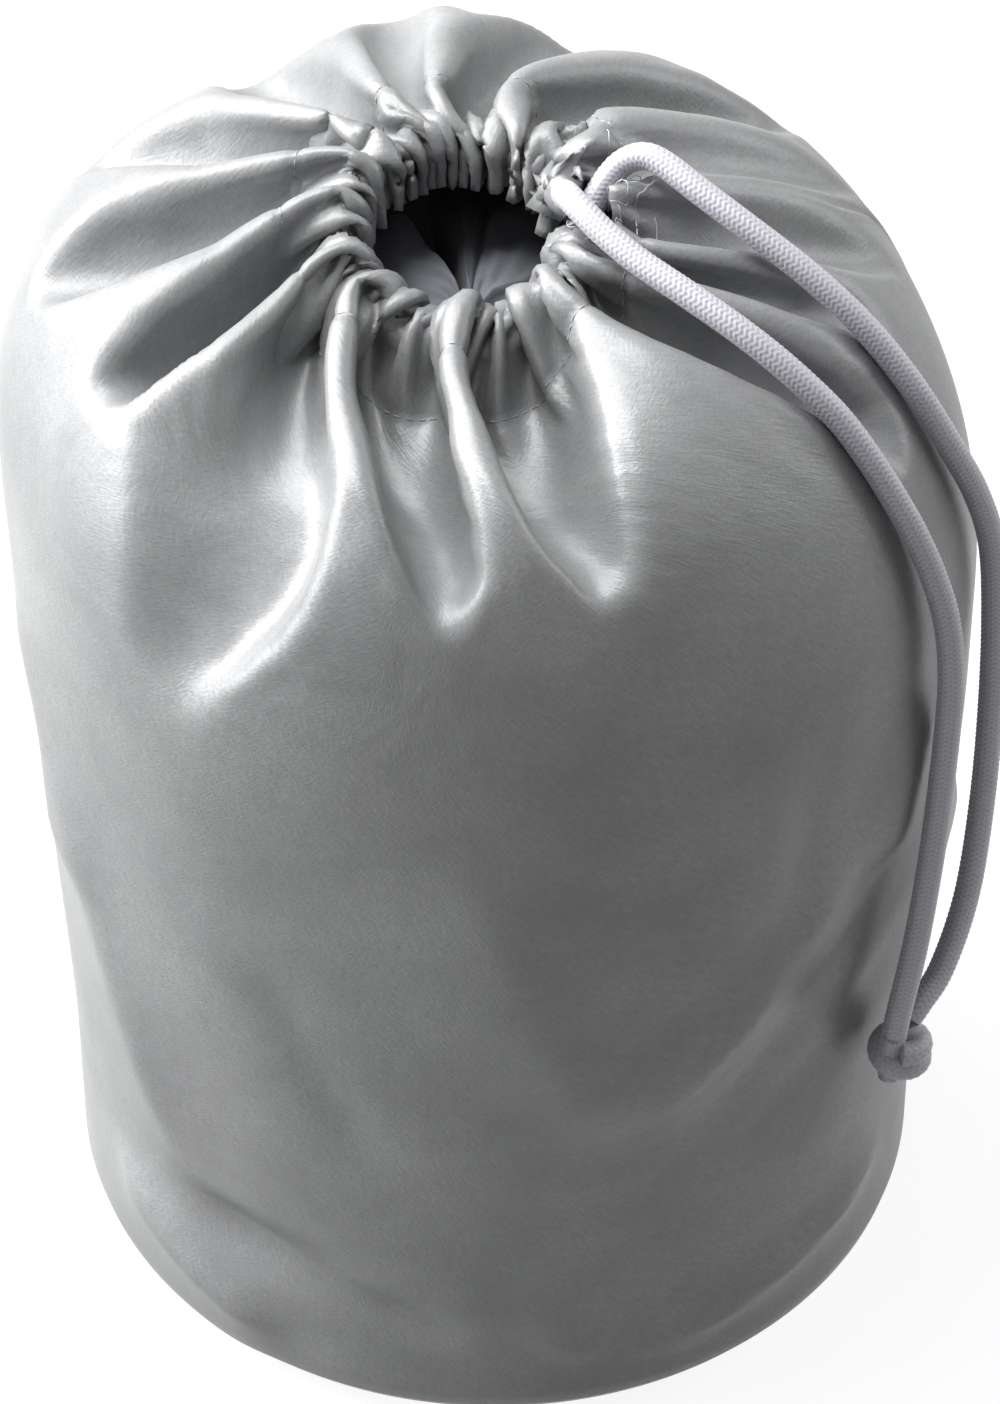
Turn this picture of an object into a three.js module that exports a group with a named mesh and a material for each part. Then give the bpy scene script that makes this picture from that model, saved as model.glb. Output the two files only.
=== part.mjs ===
// A boat cover packed in its drawstring storage bag.
//
// The bag is one tube of coated cloth on a round bottom panel. Its top is turned in to make a hem,
// and a braided cord in the hem gathers it to a small mouth. The folded cover fills the bag. Both
// ends of the cord leave the hem at the side seam, hang over the right side and end in one knot.
//
// Millimetres, +Z up. The origin is the centre of the bottom panel's underside.

import * as THREE from 'three';

// ---- Driving dimensions -------------------------------------------------------------------------

const CLOTH = 1.2;            // thickness of the coated cloth, as modelled
const GAP = 0.3;              // clearance between pieces that touch

const FOOT_RADIUS = 120.5;    // wall just above the rounded foot
const WALL_RADIUS = 128.5;    // widest part of the wall
const FOOT_ROUND = 20;        // radius of the rounded foot
const BELLY_LOW = 50;         // height where the wall starts to widen
const BELLY_HIGH = 190;       // height where it is at its widest
const SHOULDER_HEIGHT = 218;  // height where the wall turns into the gathered top

const RIM_RADIUS = 26;        // folded top edge of the hem
const RIM_HEIGHT = 339;
const RIM_X = -8;             // the mouth lies off the centre, towards the viewer
const RIM_Y = -7;
const RIM_TILT = 0.21;        // rise of the mouth for each mm towards the back
const TILT_REACH = 75;        // way along the cloth over which the tilt dies out
const DOME_POWER = 2 / 2.25;  // fullness of the gathered top, 1 is an ellipse

const THROAT_RADIUS = 20;     // inner face of the hem at its lower edge
const HEM_WIDTH = 20;         // rim to throat, along the inner face
const STITCH = 17;            // rim to the stitch line, along the outer face
const TURN_IN = { radius: 29, drop: 22 };  // the hem's turned-in part, below the cord

const MOUTH_SHARE_END = 95;   // way at which the folds reach their angles at the shoulder
const RUFFLE = 0.7;           // height of the small puckers at the rim
const INNER_DROP = 1.1;       // gap between the two faces of the hem under the stitch line

const CORD_DIAMETER = 7;
const CORD_SIDES = 8;
const CASING_CORD = { radius: 27.5, drop: 11, from: 34, to: 344, steps: 40 };
const SLOT = { from: -13, to: 26 };   // where the hem is open at the side seam, degrees

const KNOT = { x: 110.3, y: -75.5, z: 104, radius: 8.2, height: 9.5 };

const COLOURS = { silver: 0xb4b8bb, cover: 0x4c4f52, cord: 0xf1f0f2 };

// ---- Folds of the gathered top, counter-clockwise from the front ----------------------------------
// Each row is one rounded ridge and the valley after it. Angles in degrees, at the mouth and at the
// shoulder; depth, half widths before and after the valley line, and the reach of the valley from the
// rim, all in mm.

const FOLDS = [
  // ridge mouth, ridge shoulder, valley mouth, valley shoulder, depth, before, after, reach
  { name: 'front finger', ridge: [-93, -86], valley: [-71, -74],
    depth: 24, before: 26, after: 26, reach: 100 },
  { name: 'front right lobe', ridge: [-55, -30], valley: [-43, -26],
    depth: 22, before: 10, after: 14, reach: 112 },
  { name: 'low right', ridge: [-33, -20], valley: [-28, -17],
    depth: 10, before: 10, after: 12, reach: 75 },
  { name: 'right', ridge: [-20, 5], valley: [-10, 8], depth: 16, before: 18, after: 14, reach: 90 },
  { name: 'side seam', ridge: [3, 22], valley: [14, 34], depth: 11, before: 16, after: 16, reach: 100 },
  { name: 'back right', ridge: [30, 44], valley: [44, 54], depth: 14, before: 20, after: 20, reach: 90 },
  { name: 'back lobe', ridge: [62, 64], valley: [76, 74], depth: 16, before: 16, after: 18, reach: 90 },
  { name: 'back', ridge: [90, 92], valley: [100, 100], depth: 13, before: 14, after: 16, reach: 80 },
  { name: 'back left', ridge: [112, 112], valley: [126, 124],
    depth: 12, before: 16, after: 16, reach: 80 },
  { name: 'left back', ridge: [138, 140], valley: [148, 150],
    depth: 15, before: 16, after: 18, reach: 95 },
  { name: 'left upper', ridge: [162, 170], valley: [172, 178],
    depth: 15, before: 15, after: 12, reach: 108 },
  { name: 'left', ridge: [184, 198], valley: [205, 206], depth: 26, before: 40, after: 14, reach: 94 },
  { name: 'front left lobe', ridge: [226, 244], valley: [250, 264],
    depth: 25, before: 24, after: 20, reach: 102 },
];

// Soft swells and hollows of the filled bag: middle (degrees, mm), half size (degrees, mm), lean of the
// middle line (degrees for each mm up) and rise, mm.
const SWELLS = [
  { name: 'left shoulder', angle: 165, height: 285, wide: 34, tall: 48, lean: 0, rise: 9 },
  { name: 'left side', angle: 188, height: 225, wide: 22, tall: 45, lean: 0, rise: 3 },
  { name: 'back right shoulder', angle: 55, height: 300, wide: 20, tall: 40, lean: 0, rise: 4 },
  { name: 'front left lobe', angle: 222, height: 290, wide: 14, tall: 24, lean: 0, rise: 4 },
  { name: 'front hollow', angle: 262, height: 198, wide: 34, tall: 38, lean: 0, rise: -3.5 },
  { name: 'right wall trough', angle: 302, height: 178, wide: 8, tall: 42, lean: 0.5, rise: -2.6 },
  { name: 'low left crease', angle: 239, height: 57, wide: 15, tall: 7, lean: 0, rise: -3 },
  { name: 'low left bulge', angle: 232, height: 36, wide: 24, tall: 12, lean: 0, rise: 2 },
  { name: 'low right crease', angle: 310, height: 46, wide: 18, tall: 7, lean: 0, rise: -2.6 },
  { name: 'back hollow', angle: 96, height: 160, wide: 36, tall: 46, lean: 0, rise: -3.2 },
  { name: 'back low crease', angle: 142, height: 66, wide: 20, tall: 8, lean: 0.4, rise: -2.6 },
];

// ---- Small helpers ------------------------------------------------------------------------------

const radians = (degrees) => (degrees * Math.PI) / 180;

const mix = (a, b, share) => a + (b - a) * share;

function smooth(value) {
  const x = Math.min(Math.max(value, 0), 1);
  return x * x * (3 - 2 * x);
}

/** Value at x of a line through rows of [x, value]. */
function alongRows(rows, x) {
  if (x <= rows[0][0]) return rows[0][1];
  for (let i = 1; i < rows.length; i += 1) {
    const [x0, v0] = rows[i - 1];
    const [x1, v1] = rows[i];
    if (x <= x1) return mix(v0, v1, (x - x0) / (x1 - x0));
  }
  return rows[rows.length - 1][1];
}

function bufferGeometry(positions, triangles) {
  const geometry = new THREE.BufferGeometry();
  geometry.setAttribute('position', new THREE.Float32BufferAttribute(positions, 3));
  geometry.setIndex(triangles);
  geometry.computeVertexNormals();
  return geometry;
}

// ---- Profile of the bag over its ridges ---------------------------------------------------------

/** Radius of the filled wall at a height. */
function wallRadius(height) {
  const share = (height - BELLY_LOW) / (BELLY_HIGH - BELLY_LOW);
  return mix(FOOT_RADIUS, WALL_RADIUS, smooth(share));
}

/** Points [way, radius, height] from the rim over the shoulder and down to the bottom seam. */
function ridgeProfile() {
  const steps = 160;
  const points = [];
  for (let i = 0; i <= steps; i += 1) {
    const angle = (i / steps) * (Math.PI / 2);
    const out = Math.sin(angle) ** DOME_POWER;
    const up = Math.cos(angle) ** DOME_POWER;
    points.push([
      mix(RIM_RADIUS, WALL_RADIUS, out),
      mix(SHOULDER_HEIGHT, RIM_HEIGHT, up),
    ]);
  }
  for (let i = 1; i <= steps; i += 1) {
    const height = mix(SHOULDER_HEIGHT, FOOT_ROUND, i / steps);
    points.push([wallRadius(height), height]);
  }
  for (let i = 1; i <= steps; i += 1) {
    const angle = (i / steps) * (Math.PI / 2);
    points.push([
      FOOT_RADIUS - FOOT_ROUND * (1 - Math.cos(angle)),
      CLOTH / 2 + (FOOT_ROUND - CLOTH / 2) * (1 - Math.sin(angle)),
    ]);
  }
  let way = 0;
  return points.map(([radius, height], i) => {
    if (i > 0) way += Math.hypot(radius - points[i - 1][0], height - points[i - 1][1]);
    return [way, radius, height];
  });
}

const PROFILE = ridgeProfile();
const PROFILE_RADII = PROFILE.map(([way, radius]) => [way, radius]);
const PROFILE_HEIGHTS = PROFILE.map(([way, , height]) => [way, height]);
const FOOT_END = PROFILE[PROFILE.length - 1][0];
const SHOULDER_WAY = PROFILE.find(([, , height]) => height <= SHOULDER_HEIGHT)[0];

/** Radius and height of the cloth, mm from the rim; negative on the hem's inner face. */
function profileAt(way) {
  if (way >= 0) return [alongRows(PROFILE_RADII, way), alongRows(PROFILE_HEIGHTS, way)];
  const share = -way / HEM_WIDTH;
  return [mix(RIM_RADIUS, THROAT_RADIUS, share), RIM_HEIGHT - (HEM_WIDTH - 1) * share];
}

/** How far a valley is sunk, mm from the rim. */
function valleyDepth(fold, way) {
  const start = smooth((way - 2) / 20);
  const end = 1 - smooth((way - 30) / (fold.reach - 30)) ** 0.85;
  return fold.depth * start * Math.max(end, 0);
}

// Way from the rim, and the direction in which a valley is sunk there: -90 is down, -180 inwards.
const SINK_DIRECTION = [[0, -90], [25, -85], [60, -105], [95, -130], [130, -155], [165, -180]];

// ---- Bag wall -----------------------------------------------------------------------------------

const FOLD_COLUMNS = 7;       // points across one fold
const HALF_WAVE = [0, 0.32, 0.68, 1];  // way across one side of a valley

/** Angle and sink of the points across fold number k. */
function foldSection(k, way, radius) {
  const fold = FOLDS[k];
  const next = FOLDS[(k + 1) % FOLDS.length];
  const turn = k === FOLDS.length - 1 ? 360 : 0;
  const atMouth = 1 - smooth(way / MOUTH_SHARE_END);
  const angleOf = ([mouth, shoulder]) => radians(mix(shoulder, mouth, atMouth));
  const start = angleOf(fold.ridge);
  const middle = angleOf(fold.valley);
  const end = angleOf(next.ridge) + radians(turn);

  const narrow = 1 - 0.55 * smooth((way - 40) / (fold.reach - 40));
  const before = Math.min((middle - start) * radius * 0.96, fold.before * narrow);
  const after = Math.min((end - middle) * radius * 0.96, fold.after * narrow);
  const depth = valleyDepth(fold, way);

  const points = [];
  for (const share of HALF_WAVE) {
    points.push([middle - (before / radius) * (1 - share), depth * smooth(share)]);
  }
  for (const share of HALF_WAVE.slice(1)) {
    points.push([middle + (after / radius) * share, depth * smooth(1 - share)]);
  }
  // Past the end of the valley the points spread evenly over the wall.
  const spread = smooth((way - fold.reach + 15) / 40);
  return points.map(([angle, sink], c) => [
    mix(angle, mix(start, end, (c + 0.5) / FOLD_COLUMNS), spread),
    sink,
  ]);
}

function swellAt(angle, height, way) {
  const fadeIn = smooth((way - HEM_WIDTH) / 50);
  let rise = 0;
  for (const swell of SWELLS) {
    const up = height - swell.height;
    const degrees = (angle * 180) / Math.PI - swell.angle - swell.lean * up;
    const across = ((((degrees + 180) % 360) + 360) % 360) - 180;
    rise += swell.rise * Math.exp(-((across / swell.wide) ** 2) - (up / swell.tall) ** 2);
  }
  return rise * fadeIn;
}

/** A point of the cloth from its polar place on the envelope. */
function clothPoint(radius, height, angle, way) {
  const offCentre = 1 - smooth((way - 5) / (SHOULDER_WAY * 0.95));
  const tilt = RIM_TILT * (1 - smooth(way / TILT_REACH));
  return new THREE.Vector3(
    RIM_X * offCentre + radius * Math.cos(angle),
    RIM_Y * offCentre + radius * Math.sin(angle),
    height + tilt * radius * Math.sin(angle),
  );
}

/** One ring of points round the bag. */
function clothRing(way) {
  const [radius, height] = profileAt(way);
  const direction = radians(alongRows(SINK_DIRECTION, way));
  const ruffle = RUFFLE * (1 - smooth((way - 12) / 20));
  const ring = [];
  FOLDS.forEach((fold, k) => {
    foldSection(k, Math.max(way, 0), radius).forEach(([angle, sink], c) => {
      const pucker = (k + c) % 2 === 0 ? ruffle : -ruffle;
      const out = radius + swellAt(angle, height, way) + sink * Math.cos(direction) + pucker * 0.6;
      const up = height + sink * Math.sin(direction) + pucker;
      ring.push(clothPoint(out, up, angle, way));
    });
  });
  return ring;
}

/** The hem's turned-in rows: below the cord, and under the stitch line. */
function turnedInRings() {
  const stitched = clothRing(STITCH).map((point) => {
    point.z -= CLOTH + INNER_DROP;
    return point;
  });
  const middle = FOLDS.flatMap((fold, k) => foldSection(k, 0, TURN_IN.radius).map(
    ([angle]) => clothPoint(TURN_IN.radius, RIM_HEIGHT - TURN_IN.drop, angle, 0),
  ));
  return [stitched, middle];
}

/**
 * Closed solid of a cloth whose middle is a grid of points that closes round the columns.
 * isOpen(row, column) says which cells are left out.
 */
function sheetGeometry(rings, thickness, isOpen) {
  const rows = rings.length;
  const columns = rings[0].length;
  const at = (i, j) => rings[Math.min(Math.max(i, 0), rows - 1)][(j + columns) % columns];
  const positions = [];
  for (const side of [0.5, -0.5]) {
    for (let i = 0; i < rows; i += 1) {
      for (let j = 0; j < columns; j += 1) {
        const along = at(i, j + 1).clone().sub(at(i, j - 1));
        const down = at(i + 1, j).clone().sub(at(i - 1, j));
        const normal = down.cross(along).normalize();
        positions.push(...at(i, j).clone().addScaledVector(normal, side * thickness).toArray());
      }
    }
  }
  const outer = (i, j) => i * columns + ((j + columns) % columns);
  const inner = (i, j) => rows * columns + outer(i, j);
  const filled = (i, j) => i >= 0 && i < rows - 1 && !isOpen(i, (j + columns) % columns);
  const triangles = [];
  const quad = (a, b, c, d) => triangles.push(a, b, c, a, c, d);
  for (let i = 0; i < rows - 1; i += 1) {
    for (let j = 0; j < columns; j += 1) {
      if (!filled(i, j)) continue;
      quad(outer(i, j), outer(i + 1, j), outer(i + 1, j + 1), outer(i, j + 1));
      quad(inner(i, j), inner(i, j + 1), inner(i + 1, j + 1), inner(i + 1, j));
      if (!filled(i - 1, j)) quad(outer(i, j), outer(i, j + 1), inner(i, j + 1), inner(i, j));
      if (!filled(i + 1, j)) {
        quad(outer(i + 1, j), inner(i + 1, j), inner(i + 1, j + 1), outer(i + 1, j + 1));
      }
      if (!filled(i, j - 1)) quad(outer(i, j), inner(i, j), inner(i + 1, j), outer(i + 1, j));
      if (!filled(i, j + 1)) {
        quad(outer(i, j + 1), outer(i + 1, j + 1), inner(i + 1, j + 1), inner(i, j + 1));
      }
    }
  }
  return bufferGeometry(positions, triangles);
}

function bagWallGeometry() {
  // Ways of the rings from the rim. Two turned-in rings come before them.
  const hemWays = [-HEM_WIDTH, -HEM_WIDTH / 2, 0, STITCH / 2, STITCH];
  const foldWays = [27, 38, 50, 64, 78, 92, 107, 130];
  const wallWays = [162, 200, 240, 285, 325, 348];
  const footWays = [0.72, 0.48, 0.24, 0].map((share) => FOOT_END - share * FOOT_ROUND * Math.PI / 2);
  const turnedIn = turnedInRings();
  const rings = [...turnedIn, ...[...hemWays, ...foldWays, ...wallWays, ...footWays].map(clothRing)];

  // The casing is open at the side seam, from the throat over the rim to the stitch line.
  const throatRow = turnedIn.length;
  const stitchRow = throatRow + hemWays.length - 1;
  const mouthAngles = FOLDS.flatMap((fold, k) => foldSection(k, 0, RIM_RADIUS).map(([angle]) => angle));
  const inSlot = (j) => mouthAngles[j] > radians(SLOT.from) && mouthAngles[j] < radians(SLOT.to);
  return sheetGeometry(rings, CLOTH, (i, j) => i >= throatRow && i < stitchRow && inSlot(j));
}

// ---- Bottom panel -------------------------------------------------------------------------------

function basePanelGeometry() {
  const radius = FOOT_RADIUS - FOOT_ROUND - GAP - 0.4;
  const disc = new THREE.CylinderGeometry(radius, radius, CLOTH, 46);
  disc.rotateX(Math.PI / 2);
  disc.translate(0, 0, CLOTH / 2);
  return disc;
}

// ---- Folded cover inside ------------------------------------------------------------------------

// Outline of the packed cover: radius and height, from the middle of its underside to its top.
const COVER_OUTLINE = [
  { radius: 50, height: CLOTH + GAP },
  { radius: 96, height: CLOTH + GAP },
  { radius: 111, height: 11 },
  { radius: 115.5, height: 28 },
  { radius: 116, height: 72 },
  { radius: 118.5, height: 105 },
  { radius: 123, height: 150 },
  { radius: 124.5, height: 215 },
  { radius: 120, height: 252 },
  { radius: 112, height: 278 },
  { radius: 101, height: 293 },
  { radius: 84, height: 298 },
  { radius: 56, height: 299 },
  { radius: 32, height: 303 },
  { radius: 16, height: 305 },
];
const COVER_COLUMNS = 32;

// Layers of the folded cover that show in the mouth: middle angle, half width and rise of each edge.
const COVER_LAYERS = [
  { name: 'left layer', angle: 200, wide: 60, rise: 4 },
  { name: 'back layer', angle: 80, wide: 32, rise: 3 },
  { name: 'right layer', angle: 10, wide: 30, rise: 5 },
];

function packedCoverGeometry() {
  const top = COVER_OUTLINE.length - 1;
  const positions = [0, 0, CLOTH + GAP];
  COVER_OUTLINE.forEach(({ radius, height }, i) => {
    const offCentre = i > top - 3 ? 1 : 0;
    for (let j = 0; j < COVER_COLUMNS; j += 1) {
      const angle = (j / COVER_COLUMNS) * 2 * Math.PI;
      let rise = 0;
      for (const layer of COVER_LAYERS) {
        const across = Math.abs((((angle * 180) / Math.PI - layer.angle + 540) % 360) - 180);
        if (i > top - 2 && across < layer.wide) rise = layer.rise;
      }
      positions.push(
        RIM_X * offCentre + radius * Math.cos(angle),
        RIM_Y * offCentre + radius * Math.sin(angle),
        height + rise,
      );
    }
  });
  positions.push(RIM_X, RIM_Y, COVER_OUTLINE[top].height);
  const at = (i, j) => 1 + i * COVER_COLUMNS + (j % COVER_COLUMNS);
  const crown = 1 + COVER_OUTLINE.length * COVER_COLUMNS;
  const triangles = [];
  for (let j = 0; j < COVER_COLUMNS; j += 1) {
    triangles.push(0, at(0, j + 1), at(0, j));
    for (let i = 0; i < top; i += 1) {
      triangles.push(at(i, j), at(i, j + 1), at(i + 1, j + 1));
      triangles.push(at(i, j), at(i + 1, j + 1), at(i + 1, j));
    }
    triangles.push(at(top, j), at(top, j + 1), crown);
  }
  return bufferGeometry(positions, triangles);
}

// ---- Drawcord -----------------------------------------------------------------------------------

// Routes of the two free strands, from the open end of the hem to the knot.
const FRONT_ROUTE = [
  [15.4, 7.6, 330.9], [17.3, 4.9, 330.9], [18.6, 1.5, 332.9], [18.3, -2.6, 337.4], [17.8, -7.2, 341.8],
  [18.8, -12.6, 344.6], [22.0, -18.2, 344.6], [27.4, -24.4, 342.4], [35.8, -31.8, 339.2],
  [46.4, -39.2, 335.8], [58.6, -46.6, 330.8], [68.4, -51.6, 325.2], [77.0, -55.2, 318.6],
  [85.4, -58.0, 310.4], [92.8, -60.4, 300.4], [99.8, -62.3, 288.8], [105.6, -63.4, 277.6],
  [111.0, -64.2, 264.4], [115.4, -65.0, 249.0], [117.4, -66.4, 230.0], [117.0, -68.6, 205.0],
  [115.4, -71.6, 175.0], [112.6, -75.4, 146.0], [109.4, -78.0, 124.0], [108.2, -78.4, 114.0],
];
const REAR_ROUTE = [
  [18.7, -14.1, 326.3], [19.9, -10.2, 327.0], [21.6, -5.4, 328.8], [24.6, -1.0, 333.0],
  [28.4, 2.4, 338.8], [32.8, 4.0, 343.4], [38.0, 3.2, 345.8], [43.4, 0.0, 345.2],
  [52.0, -6.6, 341.8], [63.4, -13.8, 336.4], [76.7, -20.6, 328.8], [88.2, -25.8, 320.2],
  [97.8, -29.4, 310.4], [107.0, -32.2, 298.0], [116.4, -32.6, 281.0], [124.2, -30.6, 264.0],
  [129.4, -29.0, 246.0], [131.8, -29.0, 222.0], [132.6, -32.2, 192.0], [131.6, -39.0, 162.0],
  [128.2, -50.0, 138.0], [121.6, -62.6, 123.0], [115.4, -70.4, 117.2], [112.6, -72.9, 114.0],
];

function tubeGeometry(curve, steps) {
  const section = new THREE.Shape();
  for (let i = 0; i < CORD_SIDES; i += 1) {
    const angle = (i / CORD_SIDES) * 2 * Math.PI;
    const x = (CORD_DIAMETER / 2) * Math.cos(angle);
    const y = (CORD_DIAMETER / 2) * Math.sin(angle);
    if (i === 0) section.moveTo(x, y);
    else section.lineTo(x, y);
  }
  return new THREE.ExtrudeGeometry(section, { steps, extrudePath: curve, bevelEnabled: false });
}

function strandGeometry(route) {
  const curve = new THREE.CatmullRomCurve3(route.map((p) => new THREE.Vector3(...p)));
  return tubeGeometry(curve, 24);
}

/** The stretch of cord inside the hem, round from one side of the side seam to the other. */
function casingCordGeometry() {
  const points = [];
  for (let i = 0; i <= CASING_CORD.steps; i += 1) {
    const angle = radians(mix(CASING_CORD.from, CASING_CORD.to, i / CASING_CORD.steps));
    points.push(clothPoint(CASING_CORD.radius, RIM_HEIGHT - CASING_CORD.drop, angle, 0));
  }
  return tubeGeometry(new THREE.CatmullRomCurve3(points), CASING_CORD.steps);
}

function knotGeometry() {
  const ball = new THREE.SphereGeometry(1, 14, 9);
  ball.scale(KNOT.radius, KNOT.radius, KNOT.height);
  ball.translate(KNOT.x, KNOT.y, KNOT.z);
  return ball;
}

// ---- The object ---------------------------------------------------------------------------------

const silverCloth = new THREE.MeshStandardMaterial({
  color: COLOURS.silver, roughness: 0.42, metalness: 0.55,
});
const coverCloth = new THREE.MeshStandardMaterial({ color: COLOURS.cover, roughness: 0.8, metalness: 0 });
const cordBraid = new THREE.MeshStandardMaterial({ color: COLOURS.cord, roughness: 0.7, metalness: 0 });

const group = new THREE.Group();

function addPiece(name, geometry, material) {
  const mesh = new THREE.Mesh(geometry, material);
  mesh.name = name;
  group.add(mesh);
}

addPiece('bag_wall', bagWallGeometry(), silverCloth);
addPiece('base_panel', basePanelGeometry(), silverCloth);
addPiece('packed_cover', packedCoverGeometry(), coverCloth);
addPiece('drawcord_in_casing', casingCordGeometry(), cordBraid);
addPiece('drawcord_front', strandGeometry(FRONT_ROUTE), cordBraid);
addPiece('drawcord_rear', strandGeometry(REAR_ROUTE), cordBraid);
addPiece('drawcord_knot', knotGeometry(), cordBraid);

export default group;
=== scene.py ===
"""Boat cover packed in its silver drawstring storage bag, in metres.

The pieces follow the order in which they are put together: the bottom panel, the folded cover, the
gathered wall of the bag with its stitching, and the drawcord. The room and the camera come last.
"""

import bpy
import math
import numpy as np
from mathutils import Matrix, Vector
from mathutils.bvhtree import BVHTree


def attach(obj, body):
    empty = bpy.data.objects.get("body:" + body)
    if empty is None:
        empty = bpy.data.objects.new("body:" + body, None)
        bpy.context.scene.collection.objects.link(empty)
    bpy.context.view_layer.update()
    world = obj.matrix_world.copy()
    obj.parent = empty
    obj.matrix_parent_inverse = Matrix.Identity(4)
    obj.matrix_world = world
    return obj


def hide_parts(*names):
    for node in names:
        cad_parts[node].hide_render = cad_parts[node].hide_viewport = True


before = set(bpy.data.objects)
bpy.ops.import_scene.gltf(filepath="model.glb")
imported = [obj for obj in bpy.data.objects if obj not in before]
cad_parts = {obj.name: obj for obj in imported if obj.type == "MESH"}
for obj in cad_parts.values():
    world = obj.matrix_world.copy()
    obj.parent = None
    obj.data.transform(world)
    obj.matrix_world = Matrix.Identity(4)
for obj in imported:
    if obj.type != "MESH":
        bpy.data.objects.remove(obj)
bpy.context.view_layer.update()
bpy.ops.object.select_all(action="DESELECT")

# ---- Bottom panel ----
# A disc of the same silver coated cloth as the wall, cut 240 mm across and sewn to the wall's lower
# edge with the seam turned in. It carries the weight, so it lies flat with a few soft puckers.

MM = 0.001
TURN = 2 * math.pi


def smooth(x):
    """Ease from 0 to 1."""
    x = np.clip(x, 0.0, 1.0)
    return x * x * (3 - 2 * x)


def half_turn(degrees):
    """The same angle, from -180 to 180 degrees."""
    return (degrees + 180) % 360 - 180


def linear(hex_colour):
    """sRGB hex value as a linear RGBA colour."""
    parts = [int(hex_colour[i:i + 2], 16) / 255 for i in (1, 3, 5)]
    return [c / 12.92 if c <= 0.04045 else ((c + 0.055) / 1.055) ** 2.4 for c in parts] + [1.0]


def add_node(tree, kind, links=None, **settings):
    """Add a node. Links are its inputs by name, each a socket or a value; settings are attributes."""
    node = tree.nodes.new(kind)
    for name, value in settings.items():
        setattr(node, name, value)
    for name, value in (links or {}).items():
        socket = node.inputs[name]
        if isinstance(value, bpy.types.NodeSocket):
            tree.links.new(value, socket)
        else:
            socket.default_value = value
    return node


def new_material(name, looks):
    """A material with only its shader and output. Looks are inputs of the shader, by name."""
    material = bpy.data.materials.new(name)
    material.use_nodes = True
    shader = material.node_tree.nodes["Principled BSDF"]
    for socket, value in looks.items():
        shader.inputs[socket].default_value = value
    return material, material.node_tree, shader


def mesh_piece(name, points, faces, material, uvs=None):
    """A smooth object from points in millimetres, with one UV in metres for each face corner."""
    mesh = bpy.data.meshes.new(name)
    mesh.from_pydata((np.asarray(points, float) * MM).tolist(), [], faces)
    mesh.materials.append(material)
    if uvs is not None:
        layer = mesh.uv_layers.new(name="Cloth")
        layer.data.foreach_set("uv", (np.asarray(uvs, float) * MM).ravel())
    mesh.polygons.foreach_set("use_smooth", [True] * len(mesh.polygons))
    mesh.update()
    piece = bpy.data.objects.new(name, mesh)
    bpy.context.scene.collection.objects.link(piece)
    return piece


def ring_faces(rings, sides, first):
    """Number of each point in rings that start at the first, and the faces between the rings."""
    at = lambda i, j: first + i * sides + j % sides
    return at, [(at(i, j), at(i, j + 1), at(i + 1, j + 1), at(i + 1, j))
                for i in range(rings - 1) for j in range(sides)]


def give_thickness(piece):
    """Turn a sheet into cloth, with half of its thickness on each side."""
    shell = piece.modifiers.new("thickness", "SOLIDIFY")
    shell.thickness, shell.offset, shell.use_rim = CLOTH * MM, 0, True
    bpy.ops.object.select_all(action="DESELECT")
    piece.select_set(True)
    bpy.context.view_layer.objects.active = piece
    bpy.ops.object.modifier_apply(modifier=shell.name)
    piece.select_set(False)


def colour_by(tree, factor, dark, pale):
    """Give the shader a colour that goes from one hex value to another by a factor."""
    mix = add_node(tree, "ShaderNodeMix", data_type="RGBA")
    inputs = {socket.identifier: socket for socket in mix.inputs}
    inputs["A_Color"].default_value, inputs["B_Color"].default_value = linear(dark), linear(pale)
    tree.links.new(factor, inputs["Factor_Float"])
    colour = {socket.identifier: socket for socket in mix.outputs}["Result_Color"]
    tree.links.new(colour, tree.nodes["Principled BSDF"].inputs["Base Color"])


def weave_of(tree, place, *yarns):
    """Two sets of long fine streaks, added: width and length in millimetres, and angle in degrees."""
    streaks = []
    for across, along, angle in yarns:
        turned = add_node(tree, "ShaderNodeMapping",
                          {"Vector": place, "Rotation": (0, 0, math.radians(angle))}).outputs["Vector"]
        stretched = add_node(tree, "ShaderNodeMapping", {
            "Vector": turned, "Scale": (1 / (across * MM), 1 / (along * MM), 1.0)}).outputs["Vector"]
        streaks.append(add_node(tree, "ShaderNodeTexNoise", {
            "Vector": stretched, "Scale": 1.0, "Detail": 2.0, "Roughness": 0.5}).outputs["Fac"])
    return add_node(tree, "ShaderNodeMath", dict(enumerate(streaks)), operation="ADD").outputs[0]


def relief_of(tree, height, strength, depth, over=None):
    """A normal raised by a height, over another normal if there is one. The depth is in millimetres."""
    links = {"Height": height, "Strength": strength, "Distance": depth * MM}
    return add_node(tree, "ShaderNodeBump", links | ({"Normal": over} if over else {})).outputs["Normal"]


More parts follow.
